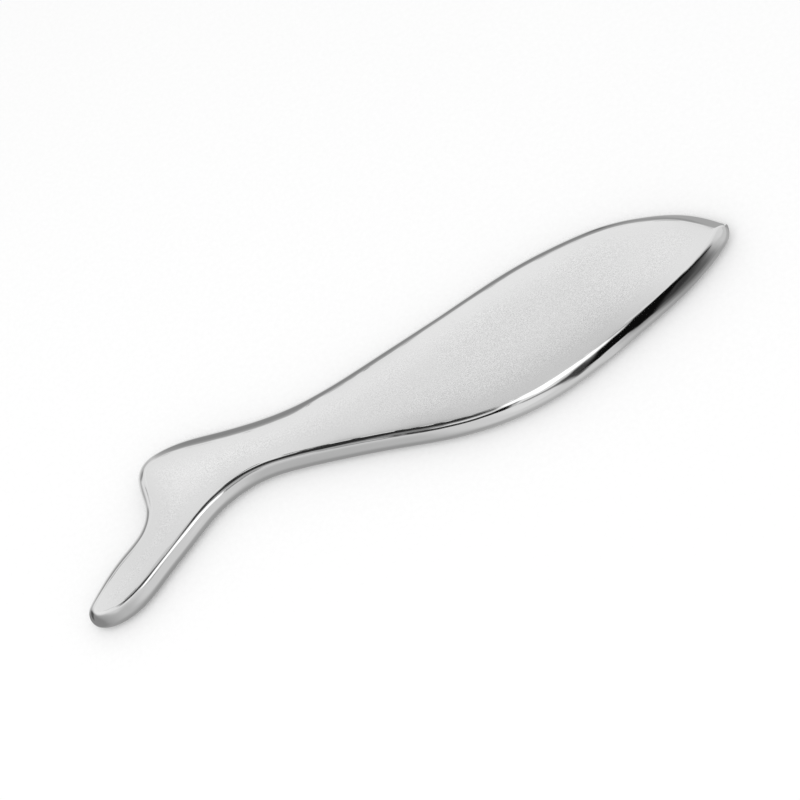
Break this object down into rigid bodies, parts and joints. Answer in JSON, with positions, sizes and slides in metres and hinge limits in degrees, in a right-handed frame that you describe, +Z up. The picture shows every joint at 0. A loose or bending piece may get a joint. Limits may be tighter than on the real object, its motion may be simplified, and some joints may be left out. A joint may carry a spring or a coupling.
{
  "type": "gua sha scraper",
  "caption": "Fish-shaped steel massage scraper: a flat plate with a fully rounded rim, a pointed head, a curved belly, a narrow waist and a forked tail.",
  "frame": {"origin": "centre of the footprint's bounding box, on the lower flat face", "axes": "+X along the length towards the pointed head, +Y towards the back of the fish shape, away from its belly, +Z up through the thickness"},
  "size_m": [0.172, 0.0386, 0.0056],
  "materials": {
    "polished_steel": "stainless steel, mirror-polished on the rounded rim and finely satin on the two flat faces"
  },
  "bodies": {
    "root": {"scraper_body": "polished_steel"}
  },
  "joints": []
}
